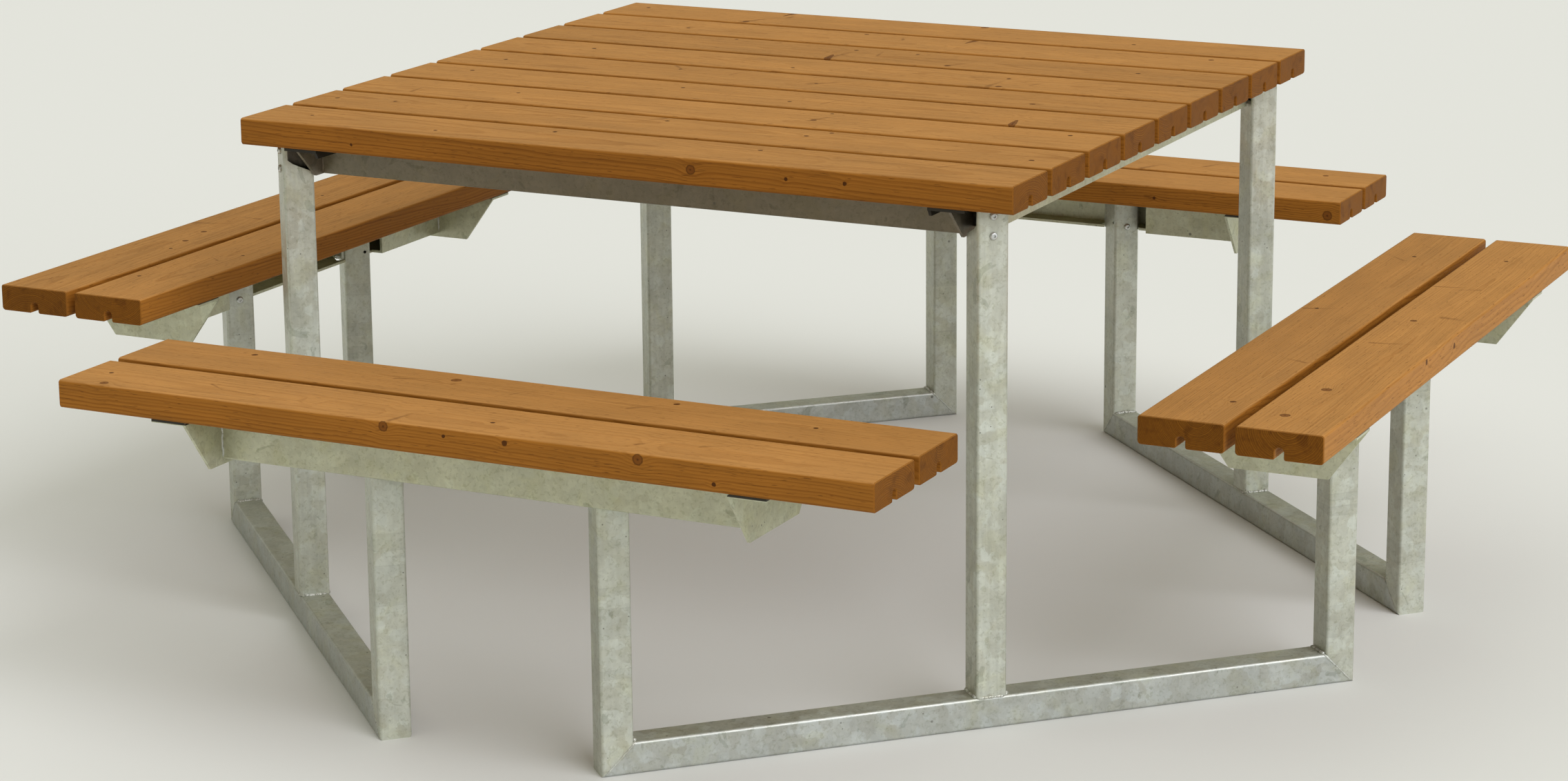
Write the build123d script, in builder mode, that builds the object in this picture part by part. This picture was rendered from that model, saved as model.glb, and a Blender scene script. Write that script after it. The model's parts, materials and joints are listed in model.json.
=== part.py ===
from build123d import *
import math
import os

os.makedirs("parts", exist_ok=True)

# Square picnic table for eight. Four galvanised frames stand across its corners. Each frame is
# a ground rail with a short leg at both ends, which carry the benches, and a tall leg in the
# middle, which carries a corner of the table top.
# Millimetres, +Z up, origin on the ground under the middle of the table.

# Planks
PLANK_WIDTH = 116
PLANK_THICKNESS = 38
PLANK_GAP = 14
TOP_EASE = 4
BOTTOM_EASE = 5
END_EASE = 1.2
GROOVE_WIDTH = 12
GROOVE_DEPTH = 16
GROOVE_MOUTH = 3

# Table top and benches
TABLE_HEIGHT = 740
TABLE_LENGTH = 1170
TABLE_PLANKS = 9
SEAT_HEIGHT = 464
BENCH_LENGTH = 1180
BENCH_INNER = 761
BENCH_PLANKS = 2

# Frames of square tube, each at 45 degrees to the table
TUBE = 43
TUBE_WALL = 3
TUBE_CORNER = 4
BORE_CORNER = 1.5
FRAME_REACH = 769
RAIL_HALF = 534
LEG_CUT_IN = 29
LEG_CUT_DOWN = 41
DEEP_CUT_IN = 37
DEEP_CUT_DOWN = 22
DEEP_CUT_KNEE = 28

# Folded sheet and plates
SHEET = 4
FOLD = 3
BEAM_DEPTH = 68
BEAM_OUT = 40
BEAM_WIDTH = 54
BEAM_LIP = 35
BEAM_HALF = 393
BOX_START = 217
BRACKET_FLANGE = 53
BRACKET_TOP = 120
BRACKET_FOOT = 68
BRACKET_DEPTH = 75
SUBFRAME_DEPTH = 45
SIDE_OUT = 516
SIDE_WIDTH = 52
SIDE_LIP = 12
SIDE_LIP_SLOPE = 6
SIDE_FLANGE_HALF = 574
SIDE_WEB_HALF = 508
CROSS_OUT = 514
CROSS_FLANGE = 50
CROSS_LIP = 25
GUSSET_OUT = 497
GUSSET_TOP = 573
GUSSET_FOOT = 531

# Tabs that the legs are bolted to
TAB_HOLE = 6.3
CORNER_TAB = 5
CORNER_TAB_WIDTH = 34
CORNER_TAB_DEPTH = 48
CORNER_RIB_DEPTH = 36
SEAT_TAB_WIDTH = 34
SEAT_TAB_START = 727

# Fasteners
BOLT = 6
BOLT_HEAD = 11
BOLT_HEAD_HEIGHT = 3.3
DOME_RIM = 0.6
SOCKET = 4
SOCKET_DEPTH = 2
BOLT_HOLE = 6.6
BOLT_TIP = 2
NUT_FLATS = 10
HEXAGON = 6
NUT_HEIGHT = 5
SEAT_BOLT_DROP = 61
TABLE_BOLT_DROPS = (10.5, 36.5)
SCREW = 5
SCREW_HEAD = 11
SCREW_HEAD_HEIGHT = 3.4
SCREW_LENGTH = 28
SCREW_HOLE = 5.6
SCREW_SPREAD = 32
SIDE_SCREW_LINE = 480
BRACKET_SCREW_LINE = 424
VENT_HOLE = 5
VENT_DROP = 54
VENT_OFFSET = 13
CLEARANCE = 1.5

pitch = PLANK_WIDTH + PLANK_GAP
table_under = TABLE_HEIGHT - PLANK_THICKNESS
seat_under = SEAT_HEIGHT - PLANK_THICKNESS
bench_middle = BENCH_INNER + (BENCH_PLANKS * pitch - PLANK_GAP) / 2
beam_foot = seat_under - BEAM_DEPTH
beam_out = bench_middle + BEAM_OUT
beam_in = beam_out - BEAM_WIDTH
tube_centre = FRAME_REACH - TUBE / 2
tube_inner = FRAME_REACH - TUBE
leg_centre = RAIL_HALF - TUBE / 2
side_in = SIDE_OUT - SIDE_WIDTH
cross_reach = GUSSET_OUT - SHEET
subframe_foot = table_under - SUBFRAME_DEPTH
seat_bolt_height = seat_under - SEAT_BOLT_DROP

SIDE_NAMES = ("front", "right", "back", "left")
CORNER_NAMES = ("front_right", "back_right", "back_left", "front_left")
QUARTERS = range(4)
QUARTER_TURN = 90
CORNER_TURN = QUARTER_TURN / 2
ENDS = (-1, 1)


def side_plane(quarter, degrees=0):
    """Upright plane through the middle of the table: x along a side, y up, z outward."""
    turn = math.radians(QUARTER_TURN * quarter + degrees)
    along = (math.cos(turn), math.sin(turn), 0)
    outward = (math.sin(turn), -math.cos(turn), 0)
    return Plane(origin=(0, 0, 0), x_dir=along, z_dir=outward)


def corner_plane(quarter):
    """The same, facing the corner that follows the side."""
    return side_plane(quarter, CORNER_TURN)


def across(base, along, height, out):
    """Plane square to the side's length: x inward, y up, z along the side."""
    origin = base.from_local_coords((along, height, out))
    return Plane(origin=origin, x_dir=-base.z_dir, z_dir=base.x_dir)


def level(base, along, height, out):
    """Horizontal plane: x along the side, y inward, z up."""
    origin = base.from_local_coords((along, height, out))
    return Plane(origin=origin, x_dir=base.x_dir, z_dir=(0, 0, 1))


def neighbour(quarter, end):
    """Name of the side that lies past one end of a side."""
    return SIDE_NAMES[(quarter + end) % len(SIDE_NAMES)]


def write_node(builder, name):
    builder.part.label = name
    export_step(builder.part, f"parts/{name}.step")


def plank_section(plane):
    """Eased rectangle with a round-topped relief groove in the middle of its underside."""
    groove_side = GROOVE_DEPTH - GROOVE_WIDTH / 2
    with BuildSketch(plane) as section:
        Rectangle(PLANK_WIDTH, PLANK_THICKNESS, align=(Align.CENTER, Align.MIN))
        fillet(section.vertices().group_by(Axis.Y)[-1], radius=TOP_EASE)
        fillet(section.vertices().group_by(Axis.Y)[0], radius=BOTTOM_EASE)
        Rectangle(GROOVE_WIDTH, groove_side, align=(Align.CENTER, Align.MIN), mode=Mode.SUBTRACT)
        with Locations((0, groove_side)):
            Circle(GROOVE_WIDTH / 2, mode=Mode.SUBTRACT)
        mouth = section.vertices().filter_by_position(Axis.X, -GROOVE_WIDTH, GROOVE_WIDTH)
        fillet(mouth.group_by(Axis.Y)[0], radius=GROOVE_MOUTH)
    return section.sketch


def make_plank(name, base, length, under, out, screw_line):
    """One plank along a side, with four pilot holes for the screws from below."""
    with BuildPart() as plank:
        extrude(plank_section(across(base, -length / 2, under, out)), amount=length)
        along = Axis(origin=(0, 0, 0), direction=base.x_dir)
        chamfer(plank.faces().filter_by(along).edges(), length=END_EASE)
        with BuildSketch(level(base, 0, under, out)):
            with GridLocations(2 * screw_line, 2 * SCREW_SPREAD, 2, 2):
                Circle(SCREW_HOLE / 2)
        extrude(amount=SCREW_LENGTH, mode=Mode.SUBTRACT)
    write_node(plank, name)


def tube_section(plane):
    bore = TUBE - 2 * TUBE_WALL
    with BuildSketch(plane) as section:
        RectangleRounded(TUBE, TUBE, TUBE_CORNER)
        RectangleRounded(bore, bore, BORE_CORNER, mode=Mode.SUBTRACT)
    return section.sketch


def mitre_plane(base, end):
    """The 45 degree joint of a rail and a seat leg. Its normal points into the rail."""
    corner = base.from_local_coords((end * RAIL_HALF, 0, tube_centre))
    into_rail = base.x_dir * -end - Vector(0, 0, 1)
    return Plane(origin=corner, x_dir=base.z_dir, z_dir=into_rail)


def make_rail(name, base):
    """Ground rail across a corner, mitred at both ends."""
    with BuildPart() as rail:
        start = across(base, -RAIL_HALF, TUBE / 2, tube_centre)
        extrude(tube_section(start), amount=2 * RAIL_HALF)
        for end in ENDS:
            split(bisect_by=mitre_plane(base, end), keep=Keep.TOP)
    write_node(rail, name)


def make_seat_leg(name, base, end):
    """Short leg: mitred foot, a bolt hole along the rail and a vent in its inner face."""
    middle = end * leg_centre
    with BuildPart() as leg:
        extrude(tube_section(level(base, middle, 0, tube_centre)), amount=seat_under - SHEET)
        split(bisect_by=mitre_plane(base, end), keep=Keep.BOTTOM)
        with BuildSketch(across(base, middle, seat_bolt_height, tube_centre)):
            Circle(BOLT_HOLE / 2)
        extrude(amount=TUBE, both=True, mode=Mode.SUBTRACT)
        with BuildSketch(base.offset(tube_inner)):
            with Locations((middle - end * VENT_OFFSET, seat_under - VENT_DROP)):
                Circle(VENT_HOLE / 2)
        extrude(amount=TUBE_WALL, mode=Mode.SUBTRACT)
    write_node(leg, name)


def make_table_leg(name, base, end):
    """Tall leg on the rail. Its inner top corner is cut away, except in the side wall away from the
    end given, and deepest in the side wall at that end.
    """
    side_wall = across(base, end * TUBE / 2, table_under, tube_inner)
    with BuildPart() as leg:
        extrude(tube_section(level(base, 0, TUBE, tube_centre)), amount=table_under - TUBE)
        with BuildSketch(side_wall):
            with BuildLine():
                Polyline((-LEG_CUT_IN, 0), (0, -LEG_CUT_DOWN), (TUBE, 0), close=True)
            make_face()
        extrude(amount=-end * (TUBE - TUBE_CORNER), mode=Mode.SUBTRACT)
        with BuildSketch(side_wall):
            with BuildLine():
                Line((0, 0), (0, -LEG_CUT_DOWN))
                Line((0, -LEG_CUT_DOWN), (-LEG_CUT_IN, -DEEP_CUT_KNEE))
                Line((-LEG_CUT_IN, -DEEP_CUT_KNEE), (-DEEP_CUT_IN, -DEEP_CUT_DOWN))
                Line((-DEEP_CUT_IN, -DEEP_CUT_DOWN), (-DEEP_CUT_IN, 0))
                Line((-DEEP_CUT_IN, 0), (0, 0))
            make_face()
        extrude(amount=-end * TUBE_WALL, mode=Mode.SUBTRACT)
        with BuildSketch(base.offset(FRAME_REACH)):
            for drop in TABLE_BOLT_DROPS:
                with Locations((0, table_under - drop)):
                    Circle(BOLT_HOLE / 2)
        extrude(amount=-TUBE_WALL, mode=Mode.SUBTRACT)
    write_node(leg, name)


def make_bench_beam(name, base):
    """Folded channel over two seat legs, closed to a box from just past each leg outward."""
    with BuildPart() as beam:
        with BuildSketch(across(base, -BEAM_HALF, seat_under, beam_out)) as section:
            Rectangle(SHEET, BEAM_DEPTH, align=(Align.MIN, Align.MAX))
            Rectangle(BEAM_WIDTH, SHEET, align=(Align.MIN, Align.MAX))
            fillet(section.vertices().group_by(Axis.X)[0].group_by(Axis.Y)[-1], radius=FOLD)
        extrude(amount=2 * BEAM_HALF)
        box_length = BEAM_HALF - BOX_START
        with BuildSketch(level(base, 0, beam_foot, beam_out)):
            with Locations((0, SHEET / 2)):
                Rectangle(2 * BOX_START, BEAM_LIP - SHEET / 2, align=(Align.CENTER, Align.MIN))
            with Locations((0, (BEAM_WIDTH + SHEET / 2) / 2)):
                with GridLocations(BEAM_HALF + BOX_START, 0, 2, 1):
                    Rectangle(box_length, BEAM_WIDTH - SHEET / 2)
            for end in ENDS:
                slot_length = TUBE + SHEET + NUT_HEIGHT + BOLT_TIP + 2 * CLEARANCE
                slot_middle = leg_centre + (slot_length - TUBE) / 2 - CLEARANCE
                corner = corner_plane(0) if end > 0 else corner_plane(3)
                spot = corner.from_local_coords((-end * slot_middle, 0, tube_centre))
                with Locations((spot.X, beam_out + spot.Y)):
                    slot_width = TUBE + 2 * CLEARANCE
                    Rectangle(slot_length, slot_width, rotation=end * CORNER_TURN, mode=Mode.SUBTRACT)
        extrude(amount=SHEET)
        with BuildSketch(level(base, 0, beam_foot, beam_in)):
            with GridLocations(BEAM_HALF + BOX_START, 0, 2, 1):
                Rectangle(box_length, SHEET, align=(Align.CENTER, Align.MAX))
        extrude(amount=BEAM_DEPTH - SHEET / 2)
        along = Axis(origin=(0, 0, 0), direction=base.x_dir)
        outward = Axis(origin=(0, 0, 0), direction=base.z_dir)
        foot_edges = beam.edges().filter_by(along).group_by(Axis.Z)[0]
        fillet(foot_edges.sort_by(outward)[-1], radius=FOLD)
    write_node(beam, name)


def make_bench_bracket(name, base, end):
    """L plate across a bench: a tapered web on the end of the beam and a flange for the planks."""
    with BuildPart() as bracket:
        with BuildSketch(across(base, end * BEAM_HALF, seat_under, bench_middle)):
            with BuildLine():
                Polyline(
                    (-BRACKET_TOP, 0),
                    (BRACKET_TOP, 0),
                    (BRACKET_TOP, -SHEET),
                    (BRACKET_FOOT, -BRACKET_DEPTH),
                    (-BRACKET_FOOT, -BRACKET_DEPTH),
                    (-BRACKET_TOP, -SHEET),
                    close=True,
                )
            make_face()
        extrude(amount=end * SHEET)
        with BuildSketch(level(base, end * (BEAM_HALF + BRACKET_FLANGE / 2), seat_under, bench_middle)):
            Rectangle(BRACKET_FLANGE, 2 * BRACKET_TOP)
        extrude(amount=-SHEET)
        across_bench = bracket.edges().filter_by(Axis(origin=(0, 0, 0), direction=base.z_dir))
        fold = across_bench.group_by(Axis.Z)[-1].sort_by(Axis(origin=(0, 0, 0), direction=base.x_dir))
        fillet(fold[-1 if end < 0 else 0], radius=FOLD)
        with BuildSketch(level(base, end * BRACKET_SCREW_LINE, seat_under, bench_middle)):
            with GridLocations(0, pitch, 1, BENCH_PLANKS):
                with GridLocations(0, 2 * SCREW_SPREAD, 1, 2):
                    Circle(SCREW_HOLE / 2)
        extrude(amount=-SHEET, mode=Mode.SUBTRACT)
    write_node(bracket, name)


def make_side_beam(name, base):
    """Under the plank ends: full-width flange, outer web between the legs, small inner lip."""
    with BuildPart() as beam:
        with BuildSketch(across(base, -SIDE_FLANGE_HALF, table_under, SIDE_OUT)):
            Rectangle(SIDE_WIDTH, SHEET, align=(Align.MIN, Align.MAX))
        extrude(amount=2 * SIDE_FLANGE_HALF)
        with BuildSketch(across(base, -SIDE_WEB_HALF, table_under, SIDE_OUT)):
            Rectangle(SHEET, SUBFRAME_DEPTH, align=(Align.MIN, Align.MAX))
        extrude(amount=2 * SIDE_WEB_HALF)
        with BuildSketch(base.offset(side_in)):
            slope_end = SIDE_FLANGE_HALF - SIDE_LIP_SLOPE
            with BuildLine():
                Polyline(
                    (-SIDE_FLANGE_HALF, table_under - SHEET / 2),
                    (SIDE_FLANGE_HALF, table_under - SHEET / 2),
                    (slope_end, table_under - SIDE_LIP),
                    (-slope_end, table_under - SIDE_LIP),
                    close=True,
                )
            make_face()
            with Locations((0, table_under - SHEET)):
                with GridLocations(2 * CROSS_OUT - SHEET, 0, 2, 1):
                    slot = SHEET + 2 * CLEARANCE
                    Rectangle(slot, SIDE_LIP, align=(Align.CENTER, Align.MAX), mode=Mode.SUBTRACT)
        extrude(amount=SHEET)
        with BuildSketch(level(base, 0, table_under, SIDE_SCREW_LINE)):
            with GridLocations(pitch, 0, TABLE_PLANKS, 1):
                with GridLocations(2 * SCREW_SPREAD, 0, 2, 1):
                    Circle(SCREW_HOLE / 2)
        extrude(amount=-SHEET, mode=Mode.SUBTRACT)
    write_node(beam, name)


def make_cross_beam(name, base):
    """Folded channel between the corner gussets, open towards the middle of the table."""
    with BuildPart() as beam:
        with BuildSketch(across(base, -cross_reach, table_under, CROSS_OUT)) as section:
            Rectangle(SHEET, SUBFRAME_DEPTH, align=(Align.MIN, Align.MAX))
            Rectangle(CROSS_FLANGE, SHEET, align=(Align.MIN, Align.MAX))
            with Locations((0, -SUBFRAME_DEPTH)):
                Rectangle(CROSS_LIP, SHEET, align=(Align.MIN, Align.MIN))
            fillet(section.vertices().group_by(Axis.X)[0], radius=FOLD)
        extrude(amount=2 * cross_reach)
        with BuildSketch(level(base, 0, table_under, CROSS_OUT)):
            with GridLocations(2 * cross_reach, 0, 2, 1):
                Rectangle(2 * (cross_reach - side_in), 2 * CROSS_FLANGE + SHEET)
        extrude(amount=-SHEET, mode=Mode.SUBTRACT)
    write_node(beam, name)


def make_corner_gusset(name, base, end):
    """Upright plate at an end of a cross beam, sloped where it sticks out past the beam."""
    with BuildPart() as gusset:
        with BuildSketch(across(base, end * cross_reach, 0, 0)):
            with BuildLine():
                Polyline(
                    (-CROSS_OUT + CROSS_LIP, table_under - SHEET),
                    (-GUSSET_TOP, table_under - SHEET),
                    (-GUSSET_FOOT, subframe_foot),
                    (-CROSS_OUT + CROSS_LIP, subframe_foot),
                    close=True,
                )
            make_face()
        extrude(amount=end * SHEET)
    write_node(gusset, name)


def make_corner_tabs(name):
    """Plate inside the top of each tall leg, on a rib that reaches back to the corner gusset."""
    rib_start = GUSSET_OUT * math.sqrt(2) + SHEET / 2
    tab_face = FRAME_REACH - TUBE_WALL
    with BuildPart() as tabs:
        for quarter in QUARTERS:
            base = corner_plane(quarter)
            with BuildSketch(base.offset(tab_face)):
                with Locations((0, table_under)):
                    Rectangle(CORNER_TAB_WIDTH, CORNER_TAB_DEPTH, align=(Align.CENTER, Align.MAX))
                for drop in TABLE_BOLT_DROPS:
                    with Locations((0, table_under - drop)):
                        Circle(TAB_HOLE / 2, mode=Mode.SUBTRACT)
            extrude(amount=-CORNER_TAB)
            with BuildSketch(base.offset(rib_start)):
                with Locations((0, table_under - SHEET)):
                    rib_depth = CORNER_RIB_DEPTH - SHEET
                    Rectangle(SHEET, rib_depth, align=(Align.CENTER, Align.MAX))
            extrude(amount=tab_face - CORNER_TAB - rib_start)
    write_node(tabs, name)


def make_seat_tabs(name):
    """Plate inside the bench beam against the outer side of each seat leg."""
    with BuildPart() as tabs:
        for quarter in QUARTERS:
            base = corner_plane(quarter)
            for end in ENDS:
                plane = across(base, end * RAIL_HALF, 0, SEAT_TAB_START)
                with BuildSketch(plane):
                    with Locations((-SEAT_TAB_WIDTH / 2, beam_foot)):
                        height = BEAM_DEPTH - SHEET
                        Rectangle(SEAT_TAB_WIDTH, height, align=(Align.CENTER, Align.MIN))
                    with Locations((SEAT_TAB_START - tube_centre, seat_bolt_height)):
                        Circle(TAB_HOLE / 2, mode=Mode.SUBTRACT)
                extrude(amount=end * SHEET)
    write_node(tabs, name)


def round_end(builder, height, radius):
    """Round over the rim of the disc that faces +Z at a height."""
    face = builder.faces().filter_by_position(Axis.Z, height, height)
    fillet(face.edges(), radius=radius)


def button_bolt(length):
    """Domed head with a hexagon socket above the origin, shank below it."""
    with BuildPart() as bolt:
        Cylinder(BOLT_HEAD / 2, BOLT_HEAD_HEIGHT, align=(Align.CENTER, Align.CENTER, Align.MIN))
        round_end(bolt, BOLT_HEAD_HEIGHT, BOLT_HEAD_HEIGHT - DOME_RIM)
        with BuildSketch(Plane.XY.offset(BOLT_HEAD_HEIGHT)):
            RegularPolygon(SOCKET / 2, HEXAGON, major_radius=False)
        extrude(amount=-SOCKET_DEPTH, mode=Mode.SUBTRACT)
        Cylinder(BOLT / 2, length, align=(Align.CENTER, Align.CENTER, Align.MAX))
    return bolt.part


def hexagon_nut():
    with BuildPart() as nut:
        with BuildSketch():
            RegularPolygon(NUT_FLATS / 2, HEXAGON, major_radius=False)
            Circle(TAB_HOLE / 2, mode=Mode.SUBTRACT)
        extrude(amount=NUT_HEIGHT)
    return nut.part


def pan_screw():
    """Pan head above the origin, shank below it."""
    with BuildPart() as screw:
        Cylinder(SCREW_HEAD / 2, SCREW_HEAD_HEIGHT, align=(Align.CENTER, Align.CENTER, Align.MIN))
        round_end(screw, SCREW_HEAD_HEIGHT, SCREW_HEAD_HEIGHT - DOME_RIM)
        length = SHEET + SCREW_LENGTH - CLEARANCE
        Cylinder(SCREW / 2, length, align=(Align.CENTER, Align.CENTER, Align.MAX))
    return screw.part


def make_group(name, piece, planes):
    """The same piece at each plane, as separate solids in one node."""
    with BuildPart() as group:
        with Locations(*[plane.location for plane in planes]):
            add(piece)
    write_node(group, name)


def seat_bolt_planes(past_leg):
    """On the inner end face of each seat leg, or on the far side of its tab, facing outward."""
    planes = []
    for quarter in QUARTERS:
        base = corner_plane(quarter)
        for end in ENDS:
            along = RAIL_HALF + SHEET if past_leg else RAIL_HALF - TUBE
            facing = base.x_dir * (end if past_leg else -end)
            origin = base.from_local_coords((end * along, seat_bolt_height, tube_centre))
            planes.append(Plane(origin=origin, x_dir=base.z_dir, z_dir=facing))
    return planes


def table_bolt_planes():
    planes = []
    for quarter in QUARTERS:
        base = corner_plane(quarter)
        for drop in TABLE_BOLT_DROPS:
            origin = base.from_local_coords((0, table_under - drop, FRAME_REACH))
            planes.append(Plane(origin=origin, x_dir=base.x_dir, z_dir=base.z_dir))
    return planes


def screw_planes(base, along, under, out):
    """Four places under one plank, facing down, on the steel that it lies on."""
    planes = []
    for end in ENDS:
        for side in ENDS:
            spot = (end * along, under - SHEET, out + side * SCREW_SPREAD)
            origin = base.from_local_coords(spot)
            planes.append(Plane(origin=origin, x_dir=base.x_dir, z_dir=(0, 0, -1)))
    return planes


# Table top
all_screws = []
front = side_plane(0)
for number in range(TABLE_PLANKS):
    out = ((TABLE_PLANKS - 1) / 2 - number) * pitch
    make_plank(f"table_plank_{number + 1}", front, TABLE_LENGTH, table_under, out, SIDE_SCREW_LINE)
    all_screws += screw_planes(front, SIDE_SCREW_LINE, table_under, out)

for quarter in (0, 2):
    base = side_plane(quarter)
    make_cross_beam(f"{SIDE_NAMES[quarter]}_cross_beam", base)
    for end in ENDS:
        side = neighbour(quarter, end)
        make_corner_gusset(f"corner_gusset_{SIDE_NAMES[quarter]}_{side}", base, end)
for quarter in (1, 3):
    make_side_beam(f"{SIDE_NAMES[quarter]}_side_beam", side_plane(quarter))

# Corner frames
for quarter in QUARTERS:
    base = corner_plane(quarter)
    make_rail(f"ground_rail_{CORNER_NAMES[quarter]}", base)
    cross_beam_end = ENDS[quarter % 2]
    make_table_leg(f"table_leg_{CORNER_NAMES[quarter]}", base, cross_beam_end)
    here = SIDE_NAMES[quarter]
    beyond = neighbour(quarter, 1)
    make_seat_leg(f"{here}_seat_leg_{beyond}", base, -1)
    make_seat_leg(f"{beyond}_seat_leg_{here}", base, 1)
make_corner_tabs("table_corner_tabs")
make_seat_tabs("seat_leg_tabs")

# Benches
for quarter in QUARTERS:
    base = side_plane(quarter)
    bench = SIDE_NAMES[quarter]
    for place, side in (("inner", -1), ("outer", 1)):
        out = bench_middle + side * pitch / 2
        make_plank(f"{bench}_bench_plank_{place}", base, BENCH_LENGTH, seat_under, out, BRACKET_SCREW_LINE)
        all_screws += screw_planes(base, BRACKET_SCREW_LINE, seat_under, out)
    make_bench_beam(f"{bench}_bench_beam", base)
    for end in ENDS:
        make_bench_bracket(f"{bench}_bench_bracket_{neighbour(quarter, end)}", base, end)

# Fasteners
seat_bolt_length = TUBE + SHEET + NUT_HEIGHT + BOLT_TIP
make_group("seat_leg_bolts", button_bolt(seat_bolt_length), seat_bolt_planes(past_leg=False))
make_group("seat_leg_nuts", hexagon_nut(), seat_bolt_planes(past_leg=True))
make_group("table_leg_bolts", button_bolt(TUBE_WALL + CORNER_TAB), table_bolt_planes())
make_group("plank_screws", pan_screw(), all_screws)
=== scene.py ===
import json
import math
import random

import bpy
from mathutils import Matrix, Vector

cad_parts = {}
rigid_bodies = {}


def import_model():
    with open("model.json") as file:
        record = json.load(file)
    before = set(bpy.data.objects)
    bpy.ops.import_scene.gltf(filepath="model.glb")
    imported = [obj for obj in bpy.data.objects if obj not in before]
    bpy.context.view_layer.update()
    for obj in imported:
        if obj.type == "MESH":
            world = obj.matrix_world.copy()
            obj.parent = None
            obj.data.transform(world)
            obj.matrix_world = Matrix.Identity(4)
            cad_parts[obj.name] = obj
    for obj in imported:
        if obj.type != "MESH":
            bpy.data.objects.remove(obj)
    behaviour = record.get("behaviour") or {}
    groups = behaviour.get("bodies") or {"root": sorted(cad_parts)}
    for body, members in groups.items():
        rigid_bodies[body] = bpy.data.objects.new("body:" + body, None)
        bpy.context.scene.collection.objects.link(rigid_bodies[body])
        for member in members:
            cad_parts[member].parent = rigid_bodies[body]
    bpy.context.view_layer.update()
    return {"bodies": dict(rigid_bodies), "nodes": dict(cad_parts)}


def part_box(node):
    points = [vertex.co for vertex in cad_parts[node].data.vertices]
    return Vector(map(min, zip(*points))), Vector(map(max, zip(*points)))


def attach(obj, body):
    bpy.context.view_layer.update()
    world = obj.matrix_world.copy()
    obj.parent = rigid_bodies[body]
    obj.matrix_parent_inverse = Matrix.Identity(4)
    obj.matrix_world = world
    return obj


# A square picnic table with four benches: stained softwood planks on galvanised steel frames.
# Metres, +Z up, origin on the ground under the middle of the table. Lengths in the wood and the
# zinc are in mm, because their textures are laid out in mm. A plank's top is TOP above its underside,
# and its sides are SIDE from its middle.

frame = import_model()
scene = bpy.context.scene
BODY = next(iter(frame["bodies"]))
MM = 0.001
plank_low, plank_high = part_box("table_plank_1")
TOP = (plank_high.z - plank_low.z) / MM
SIDE = (plank_high.y - plank_low.y) / MM / 2
SIDE_NAMES = ("front", "right", "back", "left")
CORNER_NAMES = ("front_right", "back_right", "back_left", "front_left")
ENDS = (-1, 1)

# Camera, as the picture was taken
CAMERA_PLACE = (2.3627, -4.8061, 1.6808)
CAMERA_YAW = 0.43971
CAMERA_PITCH = -0.22647
CAMERA_ROLL = -0.0040724
LENS_MM = 84.94
CAMERA_SHIFT = (-0.0499, -0.0730)
SENSOR_MM = 36.0
CAMERA_SIGHT = 200.0

# Studio
FLOOR_HALF = 40.0
FLOOR_COLOUR = (0.74, 0.74, 0.72, 1)
SKY_COLOUR = (1.0, 1.0, 0.68, 1)
SKY_STRENGTH = 0.20

# Wood colours. Pairs are for the pale and the dark part of a growth ring.
SIDE_WOOD = ((0.335, 0.129, 0.0180, 1), (0.230, 0.080, 0.0095, 1))
# LIT_TOP_WOOD is paler and greyer than SIDE_WOOD: painted light and sheen for faces that look up
LIT_TOP_WOOD = ((0.445, 0.212, 0.0600, 1), (0.315, 0.132, 0.0290, 1))
END_WOOD = ((0.155, 0.053, 0.0042, 1), (0.255, 0.096, 0.0080, 1))
DAMP = (0.72, 0.68, 0.66, 1)
DASH_BROWN = (0.120, 0.040, 0.0060, 1)
KNOT_BROWN = (0.165, 0.052, 0.0080, 1)
STREAK_BROWN = (0.115, 0.038, 0.0060, 1)
RIM_BROWN = (0.060, 0.020, 0.0040, 1)

# What is drawn at random for a plank. Lengths are in mm.
PLANK_SEED = 41
KNOT_ALONG = 560
KNOT_ACROSS = 46
KNOT_SIZES = (2.4, 2.8, 3.2, 4.5, 6.5)
FEW_KNOTS = 2
MANY_KNOTS = 6
STREAK_ALONG = 500
STREAK_START = (-50, 20)
STREAK_SLANT = 30
STREAK_SPAN = (20, 60)
STREAK_WIDTHS = (1.5, 2.5, 3.5)
PITH_ACROSS = 45
PITH_AWAY = (30, 75)
RING_WIDTH = (2.8, 4.6)
BOARD_TONE = (0.93, 1.06)
BOARD_TAPER = (0.01, 0.035)

# How a branch lies in a plank. Lengths are in mm.
SIDE_MARGIN = 6
SIDE_LEAN = 9
SIDE_CLIMB = 4
TOP_LEAN = 12
TOP_SPREAD = 0.8

# Zinc tints, then the colours of its marks
PALE = (0.550, 0.555, 0.470)
OLIVE = (0.565, 0.560, 0.405)
RAIL_GREY = (0.490, 0.500, 0.455)
# Painted shade: darker brown tints for the cross beams, gussets and corner tabs, which sit in shade under
# the table top
SHADED_BROWN = (0.232, 0.202, 0.142)
SHADED_UMBER = (0.225, 0.190, 0.140)
SHADED_TAB_BROWN = (0.16, 0.14, 0.11)
BOLT_GREY = (0.66, 0.66, 0.63)
WELD_GREY = (0.57, 0.57, 0.51)
COOL_PATCH = (0.955, 0.985, 1.04, 1)
WARM_CLOUD = (0.97, 0.95, 0.76, 1)
MOTTLE = (0.86, 0.86, 0.82, 1)
BLOT = (0.79, 0.80, 0.77, 1)
ASH = (0.100, 0.095, 0.075, 1)
SMEAR = (0.200, 0.175, 0.125, 1)
# Painted shade: darkens and yellows zinc faces that look up
UPWARD_SHADE = (0.88, 0.87, 0.76, 1)
# Painted highlight: lightens rounded edges that face partly up
EDGE_HIGHLIGHT = (0.72, 0.72, 0.67, 1)
# Painted shade: nearly black, for steel in deep shadow under the planks
SHADE_BLACK = (0.030, 0.026, 0.019, 1)

# Where the nearly black painted shade under the planks starts, in mm below a bench's planks and before a
# web's end
END_BRACKET_SHADE = 3.5
SIDE_BRACKET_SHADE = 1.4
WEB_SHADE = 2

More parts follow.
